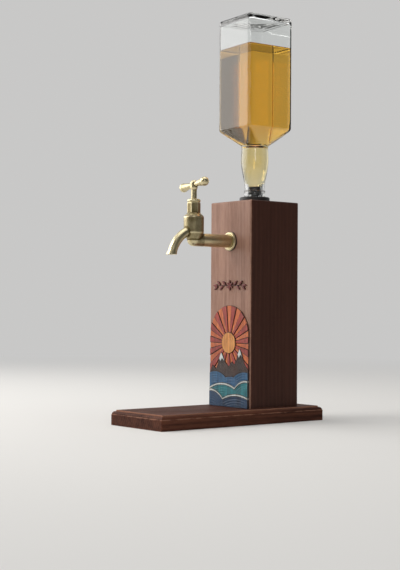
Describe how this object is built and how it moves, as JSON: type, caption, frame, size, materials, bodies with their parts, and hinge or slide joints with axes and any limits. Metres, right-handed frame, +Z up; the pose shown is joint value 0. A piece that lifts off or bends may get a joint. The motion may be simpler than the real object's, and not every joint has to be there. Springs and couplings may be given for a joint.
{
  "type": "wooden drink dispenser",
  "caption": "Wooden drink dispenser: square hollow post on a moulded base, brass bib tap in front, upturned square bottle on top feeding the tap through a hose.",
  "frame": {"origin": "middle of the underside of the base board", "axes": "+Z up, -Y out of the post's front face towards the tap's outlet, +X to the right of someone facing the back of the post from the front"},
  "size_m": [0.11, 0.275, 0.546],
  "materials": {
    "base_wood": "stained reddish brown, satin lacquer",
    "front_wood": "walnut, fine straight grain, matt oil",
    "side_wood": "dark walnut stain, matt oil",
    "inner_wood": "plain unfinished block",
    "zinc_steel": "zinc plated",
    "stainless": "drawn stainless steel",
    "bright_brass": "machined brass",
    "old_brass": "satin antique brass",
    "black_rubber": "matt black rubber",
    "silicone": "milky silicone rubber",
    "red_fibre": "pressed fibre",
    "white_packing": "soft white packing",
    "clear_glass": "clear polished glass",
    "amber_drink": "clear amber liquid",
    "red_paint": "thin board painted red, burnt edges",
    "orange_paint": "thin board painted orange, burnt edges",
    "amber_paint": "thin board painted amber, burnt edges",
    "dark_stain": "thin board stained dark brown, burnt edges",
    "white_paint": "thin board painted white, burnt edges",
    "blue_paint": "thin board painted blue, burnt edges",
    "teal_paint": "thin board painted teal, burnt edges",
    "navy_paint": "thin board painted deep blue, burnt edges",
    "dark_red_stain": "thin board stained dark red, burnt edges"
  },
  "bodies": {
    "stand": {"base_board": "base_wood", "base_screws": "zinc_steel", "front_board": "front_wood", "back_board": "side_wood", "left_board": "side_wood", "right_board": "side_wood", "top_plate": "front_wood", "plinth_block": "inner_wood", "seat_collar": "black_rubber", "stopper_stem": "bright_brass", "stem_washer": "zinc_steel", "stem_nut": "bright_brass", "bottle_stopper": "black_rubber", "air_tube": "stainless", "drain_hose": "silicone", "hose_clamps": "stainless", "hose_tail": "bright_brass", "tap_body": "old_brass", "wall_flange": "old_brass", "wall_gasket": "black_rubber", "tail_washer": "zinc_steel", "tail_nut": "bright_brass", "bonnet": "old_brass", "fibre_ring": "red_fibre", "gland_nut": "old_brass", "gland_packing": "white_packing", "red_rays": "red_paint", "orange_rays": "orange_paint", "sun_disc": "amber_paint", "mountain_peaks": "dark_stain", "snow_caps": "white_paint", "far_ridge": "blue_paint", "green_hills": "teal_paint", "pale_crests": "white_paint", "low_shore": "navy_paint", "leaf_ornament": "dark_red_stain"},
    "valve": {"jumper_valve": "bright_brass", "tap_washer": "black_rubber", "washer_nut": "bright_brass"},
    "spindle": {"spindle": "old_brass", "handle": "old_brass", "handle_screw": "old_brass"},
    "bottle": {"bottle": "clear_glass", "drink": "amber_drink"}
  },
  "joints": [
    {"name": "valve_lift", "type": "slide", "parent": "stand", "child": "valve", "axis": [0, 0, 1], "range_m": [0, 0.003]},
    {"name": "handle_turn", "type": "hinge", "parent": "valve", "child": "spindle", "pos_m": [0, -0.046, 0.2415], "axis": [0, 0, 1], "range_deg": [0, 540]},
    {"name": "bottle_lift", "type": "slide", "parent": "stand", "child": "bottle", "axis": [0, 0, 1], "range_m": [0, 0.06]}
  ],
  "couplings": [
    {"joint": "valve_lift", "follows": "handle_turn", "m_per_rad": 0.00031831}
  ]
}
